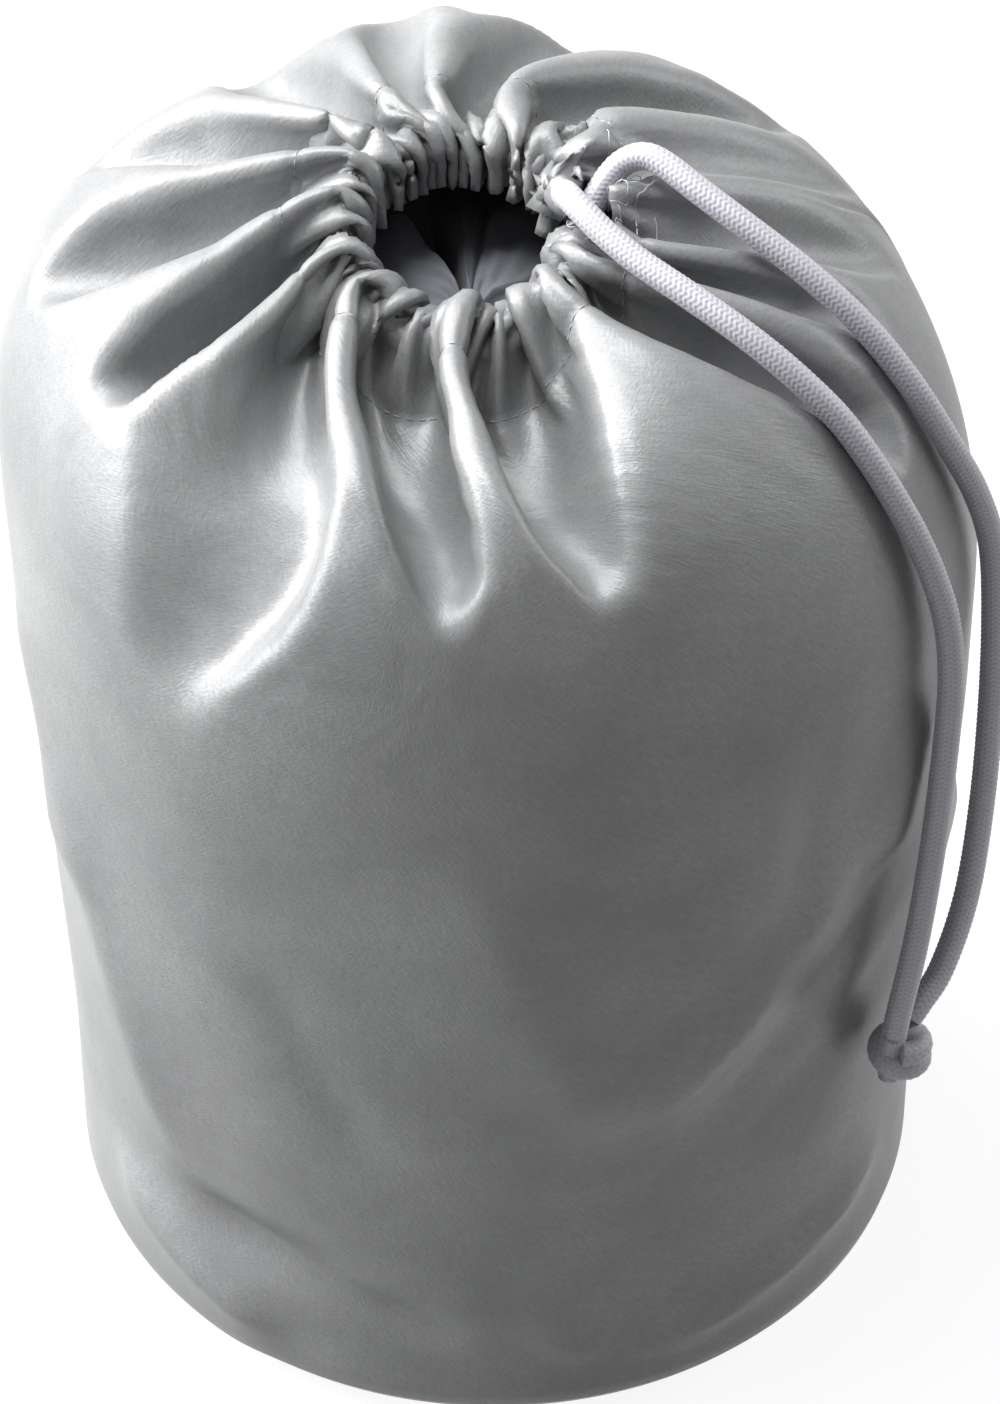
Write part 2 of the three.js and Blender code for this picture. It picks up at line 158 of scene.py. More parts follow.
def silver_cloth_material():
    """Polyester twill with an aluminium-pigment coating: pale, softly metallic, with broad shine.

    The yarns are 0.3 mm apart. They are drawn about 0.7 mm apart, which is as fine as shows.
    """
    material, tree, shader = new_material("silver coated polyester twill", {
        "Metallic": 0.21, "Specular IOR Level": 0.1, "Roughness": 0.38})
    place = add_node(tree, "ShaderNodeUVMap", uv_map="Cloth").outputs["UV"]
    tone = add_node(tree, "ShaderNodeTexNoise",
                    {"Vector": place, "Scale": 22.0, "Detail": 5.0, "Roughness": 0.6}).outputs["Fac"]
    weave = weave_of(tree, place, (0.75, 4.0, 38), (0.6, 2.0, -60))
    mottle = add_node(tree, "ShaderNodeMath", {0: tone, 1: weave}, operation="MULTIPLY")
    colour_by(tree, mottle.outputs[0], "#7c7d7e", "#a5a6a7")
    crinkle = add_node(tree, "ShaderNodeTexNoise", {
        "Vector": place, "Scale": 45.0, "Detail": 3.0, "Roughness": 0.5, "Distortion": 0.5})
    woven = relief_of(tree, weave, 0.6, 0.16)
    tree.links.new(relief_of(tree, crinkle.outputs["Fac"], 0.3, 1.1, woven), shader.inputs["Normal"])
    return material


silver_cloth = silver_cloth_material()

CLOTH = 0.5
BASE_RADIUS, BASE_LEVEL = 106.9, 0.75
BASE_COLUMNS = 144
PINCH_FROM, PINCH_HEIGHT = 70, 0.25


def bottom_panel():
    """The disc as rings of points, pinched softly along its seam."""
    radii = np.concatenate([np.linspace(4, 92, 12), np.linspace(96, BASE_RADIUS, 6)])
    angle = np.arange(BASE_COLUMNS) / BASE_COLUMNS * TURN
    points = [(0.0, 0.0, BASE_LEVEL)]
    for radius in radii:
        near = smooth((radius - PINCH_FROM) / 36)
        lift = PINCH_HEIGHT * near * (1 + np.sin(31 * angle + 2 * np.sin(5 * angle))) * (1 - near * 0.4)
        points += list(zip(radius * np.cos(angle), radius * np.sin(angle), BASE_LEVEL + lift))
    at, side_faces = ring_faces(len(radii), BASE_COLUMNS, 1)
    faces = [(0, at(0, j + 1), at(0, j)) for j in range(BASE_COLUMNS)] + side_faces
    corner = [points[v][:2] for face in faces for v in face]
    panel = mesh_piece("bottom_cloth", points, faces, silver_cloth, corner)
    give_thickness(panel)
    return panel


base = bottom_panel()
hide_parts("base_panel")
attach(base, "root")

# ---- Folded cover ----
# The boat cover itself, dark grey woven polyester, folded in thick layers and pushed into the bag.
# Only its top shows in the mouth: a broad layer on the left, a deep gap, and a fan of folds.


def cover_cloth_material():
    """Solution-dyed polyester canvas: matt dark grey, its yarns drawn 0.8 mm apart so that they show."""
    material, tree, shader = new_material("dark grey polyester canvas", {
        "Roughness": 0.72, "Sheen Weight": 0.25, "Sheen Roughness": 0.5})
    place = add_node(tree, "ShaderNodeTexCoord").outputs["Object"]
    tone = add_node(tree, "ShaderNodeTexNoise", {"Vector": place, "Scale": 40.0, "Detail": 4.0})
    colour_by(tree, tone.outputs["Fac"], "#85878f", "#9b9da5")
    weave = weave_of(tree, place, (0.8, 6.0, 0), (0.8, 6.0, 90))
    tree.links.new(relief_of(tree, weave, 0.5, 0.2), shader.inputs["Normal"])
    return material


COVER_LEVEL, COVER_TOP, COVER_DOME = 1.9, 294.0, 0.00135
# Outline of the bundle: radius and height, from the middle of its underside to its shoulder.
COVER_OUTLINE = [
    (50, COVER_LEVEL), (92, COVER_LEVEL), (106, 9), (112.5, 24), (114.5, 48), (115, 76),
    (117.5, 105), (121, 145), (122.5, 180), (122, 215), (117, 248), (109, 272), (98, 286), (84, 292),
]
# The bag's deep front pocket pushes the bundle in, from this height up.
COVER_DENT = {"angle": 240, "wide": 24, "depth": 13, "from": 195}
# Folds of the top, as a fan round its front: angle of each, and its height above the bundle.
COVER_FAN = [
    (-30, 0), (-8, 3), (-6, 7), (24, 6), (34, 5), (38, 9), (70, 10), (81, 9.5), (84, 4.5),
    (87, 7.5), (93, 8.5), (97.5, 4), (100, -14), (109, -16), (111.5, 5), (114, 10.5), (124, 12),
    (160, 8), (178, 6), (181, 10), (205, 9), (240, 6), (243, 1), (300, -1), (330, 0),
]
FAN_X, FAN_Y = -6.5, -1.0
FAN_RADII = np.array([72, 60, 52, 46, 41, 36, 32, 28, 24, 20, 16, 12, 8, 4])


def packed_cover():
    """A closed bundle: its side turned from the outline, its top a fan of folded layers."""
    turns = np.concatenate([np.linspace(-30, 78, 55), np.linspace(79, 120, 62), np.linspace(122, 326, 76)])
    angle = np.radians(turns)
    columns = len(turns)
    points = [(0.0, 0.0, COVER_LEVEL)]
    for radius, height in COVER_OUTLINE:
        crease = 1.2 * np.sin(7 * angle + height / 30) * smooth((height - 10) / 30)
        away = half_turn(np.degrees(angle) - COVER_DENT["angle"])
        dent = COVER_DENT["depth"] * np.exp(-(away / COVER_DENT["wide"]) ** 2)
        reach = radius + crease - dent * smooth((height - COVER_DENT["from"]) / 60)
        points += list(zip(reach * np.cos(angle), reach * np.sin(angle), np.full(columns, height)))
    rise = np.interp(turns, [a for a, _ in COVER_FAN], [h for _, h in COVER_FAN])
    for r in FAN_RADII:
        share = smooth((66 - r) / 24) * (1 - 0.5 * smooth((10 - r) / 10))
        wave = 0.7 * np.sin(angle * 9 + r * 0.21) + 0.5 * np.sin(angle * 23 - r * 0.35)
        z = COVER_TOP - COVER_DOME * r * r + rise * share + wave * share
        points += list(zip(FAN_X + r * np.cos(angle), FAN_Y + r * np.sin(angle), z))
    points.append((FAN_X, FAN_Y, COVER_TOP + 1))
    rings, crown = len(COVER_OUTLINE) + len(FAN_RADII), len(points) - 1
    at, side_faces = ring_faces(rings, columns, 1)
    faces = [(0, at(0, j + 1), at(0, j)) for j in range(columns)] + side_faces
    faces += [(at(rings - 1, j), at(rings - 1, j + 1), crown) for j in range(columns)]
    return mesh_piece("folded_cover", points, faces, cover_cloth_material())


cover = packed_cover()
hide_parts("packed_cover")
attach(cover, "root")

# ---- Bag wall ----
# A tube of silver coated twill, 0.81 m round with one side seam, on the bottom panel. Its top edge is
# turned in by 20 mm as a casing for the cord. The cord draws it to a mouth about 50 mm across, so the
# cloth puckers tightly there and falls over the shoulder in fourteen deep folds.

FOOT_RADIUS, WALL_RADIUS = 120.5, 128.5
FOOT_ROUND = 13.0
BELLY_LOW, SHOULDER_HEIGHT = 50.0, 218.0
RIM_RADIUS, RIM_HEIGHT = 29.5, 339.0
RIM_X, RIM_Y = -8.0, -7.0
RIM_TILT, TILT_REACH = 0.21, 75.0
DOME_POWER = 2.25
HEM_WIDTH, THROAT_RADIUS = 20.0, 28.0
STITCH_WAY = 16.0
COLUMNS = 400
YARN_GAP = TURN * WALL_RADIUS / COLUMNS
CASING_CORD = {"radius": 31.5, "drop": 8.5, "clear": 4.3}

# A "way" is the distance in millimetres along the cloth from the rim, and less than 0 on the hem's
# turned-in face. Each fold has a crest and a valley, as angles at the first three or at all four of
# the fold ways, then the depth of the valley, the width of cloth that turns down before and after it,
# and the way at which it dies out. From TIP_FROM on, a valley narrows and rises with these powers.
FOLD_WAYS = (5, 45, 90, 140)
TIP_FROM, TIP_ROUND, TIP_DROP = 34, 1.5, 2.6
FLAT_POINTS = 24
FOLDS = [
    ("front finger", (-95, -89, -88), (-79, -79, -75), 32, 13, 24, 99),
    ("front right lobe", (-50, -39, -33), (-38, -33, -24), 22, 9, 16, 110),
    ("low right", (-28, -21, -15), (-21, -14, -7), 13, 12, 14, 90),
    ("right", (-19, -10, 5), (-6, 2, 11), 14, 16, 14, 95),
    ("side seam", (7, 12, 19), (26, 22, 26), 7, 12, 10, 90),
    ("back right", (48, 36, 34), (60, 44, 43), 17, 14, 14, 92),
    ("back lobe", (80, 65, 58), (92, 77, 75), 26, 20, 20, 96),
    ("back", (102, 95, 92), (109, 104, 101), 14, 14, 14, 80),
    ("back left", (117, 113, 110), (130, 127, 124), 21, 18, 18, 90),
    ("left back", (137, 139, 140), (145, 150, 152), 23, 18, 18, 98),
    ("left upper", (153, 166, 172), (166, 178, 180), 22, 20, 16, 92),
    ("left", (174, 195, 199), (196, 208, 203), 32, 30, 12, 83),
    ("front left lobe", (204, 213, 208, 219), (212, 236, 242, 232), 24, 60, 16, 147),
    ("front left crest", (224, 246, 258, 250), (247, 259, 265), 33, 17, 23, 102),
]
# Broad swells and hollows: angle and height of the middle, half width in degrees, half height, lean
# in degrees for each millimetre up, and rise.
SWELLS = [
    (162, 290, 32, 46, 0, 13.0), (184, 165, 42, 58, 0, -4.5), (95, 318, 45, 42, 0, 8.0),
    (100, 322, 10, 36, 0, 6.0), (77, 318, 9, 36, 0, 4.0), (40, 300, 24, 38, 0, 4.5),
    (262, 198, 34, 38, 0, -3.5), (302, 178, 8, 42, 0.5, -2.6),
    (239, 57, 15, 7, 0, -3.0), (232, 36, 24, 12, 0, 2.0), (310, 46, 18, 7, 0, -2.6),
    (96, 160, 36, 46, 0, -3.2), (142, 66, 20, 8, 0.4, -2.6),
]
# Long soft creases of the filled wall: angle and height of both ends, rise, and how wide the cloth
# slopes away to the left and to the right of the line, in millimetres.
CREASE_DEPTH = 1.35
CREASES = [
    (283, 112, 318, 196, 6.5, 46, 10), (294, 106, 328, 178, -3.0, 12, 20),
    (300, 92, 334, 142, -1.4, 9, 14), (284, 112, 266, 226, 4.0, 20, 26),
    (224, 60, 268, 36, -5.0, 6, 9), (209, 52, 242, 20, 5.0, 7, 13), (274, 42, 284, 26, 2.6, 4, 4),
    (286, 24, 336, 46, 4.0, 12, 7), (206, 196, 226, 64, 4.2, 12, 24), (194, 240, 208, 150, 3.0, 18, 12),
    (333, 226, 322, 172, 2.6, 10, 14), (312, 240, 304, 150, -3.0, 12, 16), (240, 176, 256, 96, -2.4, 20, 14),
    (20, 200, 60, 90, -4.0, 14, 22), (120, 190, 90, 70, 4.4, 16, 26), (60, 60, 110, 40, -4.0, 7, 11),
    (150, 120, 178, 52, -4.6, 12, 17), (352, 150, 20, 60, 4.0, 12, 18), (130, 44, 168, 30, -3.6, 6, 9),
]
# The way in which a valley sinks, in degrees from level, at each way.
SINK = [(0, -90), (25, -85), (60, -105), (95, -130), (130, -155), (165, -180)]
# Widths of the puckers round the mouth, from the right, in turn to the back, the left and the front.
PUCKERS = [
    1.2, 1.1, 1.7, 1.0, 1.5, 1.4, 0.6, 0.55, 0.7, 0.6, 0.5, 0.9, 0.8, 1.9, 0.9, 0.7, 0.9, 0.6,
    0.8, 1.1, 0.7, 0.8, 0.7, 1.0, 0.8, 1.2, 0.9, 0.7, 1.3, 0.7, 0.9, 1.1, 0.8, 1.2, 0.9, 1.0,
]


def wall_radius(height):
    """Radius of the filled wall, which is widest a little under the shoulder."""
    rise = (height - BELLY_LOW) / (SHOULDER_HEIGHT - BELLY_LOW - 28)
    return FOOT_RADIUS + (WALL_RADIUS - FOOT_RADIUS) * smooth(rise)


def envelope():
    """Ways, radii and heights of the smooth outline that the folds hang from."""
    lean = np.linspace(0, math.pi / 2, 400)
    dome_r = RIM_RADIUS + (WALL_RADIUS - RIM_RADIUS) * np.sin(lean) ** (2 / DOME_POWER)
    dome_z = np.maximum(np.cos(lean), 0) ** (2 / DOME_POWER)
    dome_z = SHOULDER_HEIGHT + (RIM_HEIGHT - SHOULDER_HEIGHT) * dome_z
    side_z = np.linspace(SHOULDER_HEIGHT, FOOT_ROUND, 300)[1:]
    turn = np.linspace(0, math.pi / 2, 100)[1:]
    foot_r = FOOT_RADIUS - FOOT_ROUND * (1 - np.cos(turn))
    foot_z = 0.6 + (FOOT_ROUND - 0.6) * (1 - np.sin(turn))
    radii = np.concatenate([dome_r, wall_radius(side_z), foot_r])
    heights = np.concatenate([dome_z, side_z, foot_z])
    steps = np.hypot(np.diff(radii), np.diff(heights))
    return np.concatenate([[0], np.cumsum(steps)]), radii, heights


WAYS, RADII, HEIGHTS = envelope()
LENGTH = float(WAYS[-1])
SHOULDER_WAY = float(np.interp(-SHOULDER_HEIGHT, -HEIGHTS, WAYS))


def profile(way):
    """Radius and height of the outline at a way."""
    if way < 0:
        share = -way / HEM_WIDTH
        return RIM_RADIUS + (THROAT_RADIUS - RIM_RADIUS) * share, RIM_HEIGHT - (HEM_WIDTH - 1) * share
    return float(np.interp(way, WAYS, RADII)), float(np.interp(way, WAYS, HEIGHTS))


# Half a fold is a curve whose slope swings by an angle and back. Its shape comes from the depth for
# its width, and the power crowds its points where the cloth rolls over.
CRISP = 0.48
HALF_FOLD = math.pi * np.linspace(0, 1, 97) ** CRISP


def swing(angle):
    """Distances along and down half a fold whose steepest slope is an angle."""
    slope = angle * np.sin(HALF_FOLD)
    halves = [(np.cos(slope[1:]) + np.cos(slope[:-1])) / 2, (np.sin(slope[1:]) + np.sin(slope[:-1])) / 2]
    return [np.concatenate([[0], np.cumsum(part)]) for part in halves]


STEEPNESS = np.linspace(0.0, 2.3, 93)
SPANS = np.array([[part[-1] for part in swing(angle)] for angle in STEEPNESS])
DEPTH_SHARE = SPANS[:, 1] / SPANS[:, 0]


def half_fold(width, depth):
    """Points of half a fold of a given width and depth."""
    angle = float(np.interp(depth / max(width, 1e-3), DEPTH_SHARE, STEEPNESS))
    along, down = swing(angle)
    return width * along / along[-1], (depth * down / down[-1] if depth > 1e-9 else down * 0)


def fold_angle(angles, way):
    """Angle at a way, on the smooth curve through the angles at the three or four given ways."""
    ways = FOLD_WAYS[:len(angles)]
    way = min(max(way, ways[0]), ways[-1])
    return sum(angle * math.prod((way - other) / (at - other) for other in ways if other != at)
               for at, angle in zip(ways, angles))


def folded_ring(way):
    """Angles, sinks and lengths round one ring, and the length at which each crest stands."""
    radius, _ = profile(way)
    angle_at = lambda angles: math.radians(fold_angle(angles, way))
    angles, sinks, crests = [], [], []
    count = 0
    for k, (_, crest, valley, depth, before, after, reach) in enumerate(FOLDS):
        following = FOLDS[(k + 1) % len(FOLDS)][1]
        start, low = angle_at(crest), angle_at(valley)
        end = angle_at(following) + (TURN if k == len(FOLDS) - 1 else 0)
        down_span, up_span = (low - start) * radius, (end - low) * radius
        dying = min(max((way - TIP_FROM) / (reach - TIP_FROM), 0.0), 1.0)
        narrow = max((1 - dying ** TIP_ROUND) ** 0.5, 0.12)
        first, last = min(down_span * 0.96, before * narrow), min(up_span * 0.96, after * narrow)
        sink = depth * smooth((way + 8) / 26.0) * (1 - dying ** TIP_DROP) * narrow ** 0.5
        x1, n1 = half_fold(first, sink)
        x2, n2 = half_fold(last, sink)
        across = np.concatenate([
            np.linspace(0, down_span - first, FLAT_POINTS, endpoint=False),
            down_span - first + x1[:-1], (down_span + last - x2)[::-1][:-1],
            np.linspace(down_span + last, down_span + up_span, FLAT_POINTS, endpoint=False)])
        level = np.zeros(FLAT_POINTS)
        depths = np.concatenate([level, n1[:-1], n2[::-1][:-1], level])
        crests.append(count)
        count += len(across)
        angles.append(start + across / radius)
        sinks.append(depths)
    angles, sinks = np.concatenate(angles), np.concatenate(sinks)
    angles, sinks = np.append(angles, angles[0] + TURN), np.append(sinks, sinks[0])
    lengths = np.concatenate([[0], np.cumsum(np.hypot(np.diff(angles) * radius, np.diff(sinks)))])
    return angles, sinks, lengths, lengths[crests]


def swell_at(angle, height):
    """How far the stuffing pushes the cloth out at angles and a height."""
    rise = np.zeros(len(angle))
    for middle, level, wide, tall, lean, much in SWELLS:
        up = height - level
        across = half_turn(np.degrees(angle) - middle - lean * up)
        rise += much * np.exp(-(across / wide) ** 2 - (up / tall) ** 2)
    return rise


def crease_at(angle, height):
    """How far the long creases stand out at angles and a height."""
    rise, per_degree = np.zeros(len(angle)), math.radians(WALL_RADIUS)
    for from_angle, from_height, to_angle, to_height, much, left, right in CREASES:
        run, climb = half_turn(to_angle - from_angle), to_height - from_height
        length = math.hypot(run * per_degree, climb)
        ahead, up = run * per_degree / length, climb / length
        across = half_turn(np.degrees(angle) - from_angle) * per_degree
        along = (across * ahead + (height - from_height) * up) / length
        aside = (height - from_height) * ahead - across * up
        slope = np.where(aside > 0, aside / left, -aside / right)
        ends = [smooth(share / 0.3 + 0.15) for share in (along, 1 - along)]
        rise += CREASE_DEPTH * much * np.exp(-slope ** 1.25) * ends[0] * ends[1]
    return rise


def hang_cloth(ways):
    """The folded cloth before it settles: rows at the ways, columns round the bag."""
    cloth = np.zeros((len(ways), COLUMNS, 3))
    even = np.array([math.radians(sum(fold[1][:3]) / 3) for fold in FOLDS]) / TURN * COLUMNS
    for i, way in enumerate(ways):
        radius, height = profile(way)
        sink_angle = math.radians(float(np.interp(way, *zip(*SINK))))
        off_centre = 1 - smooth((way - 5) / (SHOULDER_WAY * 0.95))
        angles, sinks, lengths, crests = folded_ring(way)
        # The columns of the crests lie between an even share and their share of this ring.
        shift = crests / lengths[-1] * COLUMNS + even[0] - even
        shift = (shift - shift.mean()) * 0.8 * (1 - smooth((way - 70) / 50.0))
        at_crest = even + shift
        at_crest = np.append(at_crest, at_crest[0] + COLUMNS)
        columns = (np.arange(COLUMNS) - at_crest[0]) % COLUMNS + at_crest[0]
        place = np.interp(columns, at_crest, np.append(crests, lengths[-1]))
        angle = np.interp(place, lengths, angles)
        sink = np.interp(place, lengths, sinks)
        rise = swell_at(angle, height) * smooth((way - HEM_WIDTH) / 50)
        rise = rise + crease_at(angle, height) * smooth((way - 90) / 60)
        out = radius + 0.75 * rise + sink * math.cos(sink_angle)
        lift = 0.66 * smooth((height - 200) / 80.0)
        up = height + lift * rise + sink * math.sin(sink_angle)
        tilt = RIM_TILT * out * np.sin(angle) * (1 - smooth(max(way, 0) / TILT_REACH))
        cloth[i] = np.stack([RIM_X * off_centre + out * np.cos(angle),
                             RIM_Y * off_centre + out * np.sin(angle), up + tilt], 1)
    return cloth


def cloth_normals(cloth):
    """Outward unit normals of a grid that closes round its columns."""
    along = np.roll(cloth, -1, 1) - np.roll(cloth, 1, 1)
    down = np.gradient(cloth, axis=0)
    normal = np.cross(down, along)
    return normal / (np.linalg.norm(normal, axis=2, keepdims=True) + 1e-9)


def pull(first, second, rest, stiff, slack=0.0, only_push=False):
    """Move pairs of points towards their rest distance."""
    apart = second - first
    length = np.sqrt((apart * apart).sum(-1)) + 1e-9
    short = np.minimum(length - (rest if only_push else rest * (1 - slack)), 0)
    error = short if only_push else np.where(length > rest, length - rest, short)
    move = (error / length * stiff * 0.5)[..., None] * apart
    first += move
    second -= move


def edge_lengths(cloth):
    """Lengths along the rows, down the columns and over both diagonals."""
    beside = np.roll(cloth, -1, 1)
    length = lambda v: np.sqrt((v * v).sum(-1))
    return (length(beside - cloth), length(cloth[1:] - cloth[:-1]),
            length(beside[1:] - cloth[:-1]), length(cloth[1:] - beside[:-1]))


def settle(cloth, rest, steps, hold, slack, shear, bend, keep_off=None):
    """Let the cloth find its lengths: stretch, shear and bending, with a light hold on its place."""
    home, cloth = cloth.copy(), cloth.copy()
    rows, columns, _ = cloth.shape
    round_rest, down_rest, diagonal, other_diagonal = rest
    other_diagonal = np.roll(other_diagonal, 1, 1)
    slack = np.broadcast_to(np.reshape(slack, (-1, 1)), (rows, 1))
    girth = np.concatenate([round_rest] * 3, 1).cumsum(1)
    drop = np.concatenate([np.zeros((1, columns)), down_rest]).cumsum(0)
    for _ in range(steps):
        cloth += hold * (home - cloth)
        for odd in (0, 1):
            turned, lengths = np.roll(cloth, -odd, 1), np.roll(round_rest, -odd, 1)
            pull(turned[:, 0::2], turned[:, 1::2], lengths[:, 0::2], 0.9, slack)
            cloth = np.roll(turned, odd, 1)
            end = odd + (rows - odd) // 2 * 2
            pull(cloth[odd:end:2], cloth[odd + 1:end:2], down_rest[odd:end:2], 0.9)
            for step, lengths in ((-1, diagonal), (1, other_diagonal)):
                below = np.roll(cloth[odd + 1:end:2], step, 1)
                pull(cloth[odd:end:2], below, lengths[odd:end:2], shear)
                cloth[odd + 1:end:2] = np.roll(below, -step, 1)
        for span, stiff in bend:
            for start in range(2 * span):
                turned = np.roll(cloth, -start, 1)
                at = np.arange(0, columns // (2 * span) * (2 * span), 2 * span)
                first, second = turned[:, at], turned[:, at + span]
                place = columns + start + at
                pull(first, second, girth[:, place + span - 1] - girth[:, place - 1], stiff,
                     only_push=True)
                turned[:, at], turned[:, at + span] = first, second
                cloth = np.roll(turned, start, 1)
                at = np.arange(start, rows - span, 2 * span)
                if len(at):
                    first, second = cloth[at], cloth[at + span]
                    pull(first, second, drop[at + span] - drop[at], stiff, only_push=True)
                    cloth[at], cloth[at + span] = first, second
        if keep_off is not None:
            keep_off(cloth)
    return cloth


def between_columns(coarse, coarse_rows, every, rows):
    """A coarse grid of moves, spread over all the rows and columns."""
    place = np.arange(coarse.shape[1] * every) / every
    left = np.floor(place).astype(int)
    share = (place - left)[None, :, None]
    share = 0.65 * share + 0.35 * share * share * (3 - 2 * share)
    wide = coarse[:, left] * (1 - share) + coarse[:, (left + 1) % coarse.shape[1]] * share
    row = np.arange(rows)
    above = np.clip(np.searchsorted(coarse_rows, row, side="right") - 1, 0, len(coarse_rows) - 2)
    share = (row - coarse_rows[above]) / (coarse_rows[above + 1] - coarse_rows[above])
    return wide[above] * (1 - share[:, None, None]) + wide[above + 1] * share[:, None, None]


def pucker_height(excess):
    """Height of a wave, as a share of its width over a turn, that takes up a share of spare cloth."""
    heights = np.linspace(0, 14, 281)
    wave = np.cos(np.linspace(0, TURN, 181)[:-1])
    spare = np.array([np.sqrt(1 + (h * wave) ** 2).mean() for h in heights])
    return float(np.interp(excess, spare, heights))


RIM = hang_cloth([0.0])[0]
RIM_ANGLE = np.unwrap(np.arctan2(RIM[:, 1] - RIM_Y, RIM[:, 0] - RIM_X))


def casing_ring(angle):
    """Centre line of the cord inside the casing, as points at angles round the mouth."""
    radius = CASING_CORD["radius"]
    turned = RIM_ANGLE[0] + (angle - RIM_ANGLE[0]) % TURN
    height = np.interp(turned, RIM_ANGLE, RIM[:, 2]) - CASING_CORD["drop"]
    return np.stack([RIM_X + radius * np.cos(angle), RIM_Y + radius * np.sin(angle), height], -1)


def keep_off_casing_cord(cloth):
    """Push the hem's two faces off the cord inside it."""
    hem = cloth[:20]
    angle = np.arctan2(hem[..., 1] - RIM_Y, hem[..., 0] - RIM_X)
    away = hem - casing_ring(angle)
    length = np.sqrt((away * away).sum(-1, keepdims=True)) + 1e-9
    hem += away / length * np.maximum(CASING_CORD["clear"] - length, 0)


# Rows stand close together down to this way, and wider apart below it.
FINE_END, FINE_STEP, WIDE_STEP = 132, 2.0, 4.4
# The hold is the light pull to the hung shape; bends are spans in columns or rows, with their stiffness.
COARSE_HOLD, COARSE_BEND, COARSE_STEPS = 0.01, ((2, 0.02), (4, 0.004)), 300
FINE_HOLD, FINE_BEND, FINE_STEPS = 0.002, ((2, 0.08), (4, 0.02)), 150
# An edge may be this share shorter than its rest length.
GIVE = 0.02
# The puckers and the full girth of the cloth fade out from one way, over some more.
PUCKER_SLANT, PUCKER_MOST = 0.9, 6.0
PUCKER_END, FLAT_END = (13, 28), (16, 28)
IRONING, IRON_FROM, IRON_END = 0.4, 24, 128


def gathered_cloth():
    """Ways of the rows and the settled cloth."""
    ways = np.concatenate([np.arange(-HEM_WIDTH, FINE_END, FINE_STEP),
                           np.arange(FINE_END, LENGTH, WIDE_STEP)])
    ways[-1] = LENGTH
    hung = hang_cloth(ways)
    # The broad folds settle on a coarse grid.
    every, some = 4, np.unique(np.concatenate([np.arange(0, len(ways), 3), [len(ways) - 1]]))
    coarse, coarse_ways = hung[some][:, ::every], ways[some]
    hold = COARSE_HOLD + 0.06 * (1 - smooth(coarse_ways / 30.0)) + 0.3 * smooth((coarse_ways - 160) / 70.0)
    settled = settle(coarse, edge_lengths(coarse), COARSE_STEPS, hold[:, None, None], GIVE, 0.1, COARSE_BEND)
    cloth = hung + between_columns(settled - coarse, some, every, len(ways))
    # Puckers take up the cloth that the cord has drawn in at the hem.
    bounds = np.concatenate([[0], np.cumsum(PUCKERS)]) / np.sum(PUCKERS) * COLUMNS
    column = np.arange(COLUMNS)
    pucker = np.searchsorted(bounds, column, side="right") - 1
    wide = bounds[pucker + 1] - bounds[pucker]
    phase = TURN * (column - bounds[pucker]) / wide
    for _ in range(3):
        wide = (np.roll(wide, 1) + 2 * wide + np.roll(wide, -1)) / 4
    rest = edge_lengths(cloth)
    spacing = rest[0].mean(1)
    wave = np.zeros((len(ways), COLUMNS))
    for i, way in enumerate(ways):
        excess = min(YARN_GAP / spacing[i], 6.0)
        fade = 1 - smooth((way - PUCKER_END[0]) / PUCKER_END[1])
        height = pucker_height(1 + (excess - 1) * fade)
        most = PUCKER_MOST - 2.0 * smooth((2 - way) / 8)
        slant = PUCKER_SLANT * np.sin(TURN * column / COLUMNS * 7 + 1.3) * way / HEM_WIDTH
        slant += 0.5 * np.sin(TURN * column / COLUMNS * 17 + way * 0.23)
        uneven = 1 + 0.3 * np.sin(TURN * column / COLUMNS * 11 + way * 0.16)
        size = np.minimum(height * wide * spacing[i] / TURN, most)
        wave[i] = size * uneven * (np.sin(phase + slant) + 0.12)
    cloth = cloth + cloth_normals(cloth) * wave[..., None]
    flat = 1 - smooth((ways - FLAT_END[0]) / FLAT_END[1])[:, None]
    step = np.diff(ways)[:, None]
    down = (1 - smooth((ways - 8) / 22.0))[:-1, None]
    slant = np.sqrt(YARN_GAP ** 2 + step ** 2)
    rest = (rest[0] + (YARN_GAP - rest[0]) * flat, rest[1] + (step - rest[1]) * down,
            rest[2] + (slant - rest[2]) * down, rest[3] + (slant - rest[3]) * down)
    hold = FINE_HOLD + 0.02 * (ways < 18) + 0.1 * (ways < -10) + 0.3 * smooth((ways - 150) / 60.0)
    slack = GIVE + 0.05 * smooth((ways - 18) / 20.0)
    cloth = settle(cloth, rest, FINE_STEPS, hold[:, None, None], slack, 0.25, FINE_BEND,
                   keep_off_casing_cord)
    # Below the casing the smallest ripples are ironed out.
    even = int(np.searchsorted(ways, IRON_END))
    ironed = IRONING * smooth((ways - IRON_FROM) / 14)[:, None, None]
    for _ in range(2):
        across = (np.roll(cloth, 1, 1) + np.roll(cloth, -1, 1)) / 2
        down = cloth.copy()
        down[1:even] = (cloth[2:even + 1] + cloth[:even - 1]) / 2
        cloth = cloth + ironed * ((across + down) / 2 - cloth)
    return ways, cloth


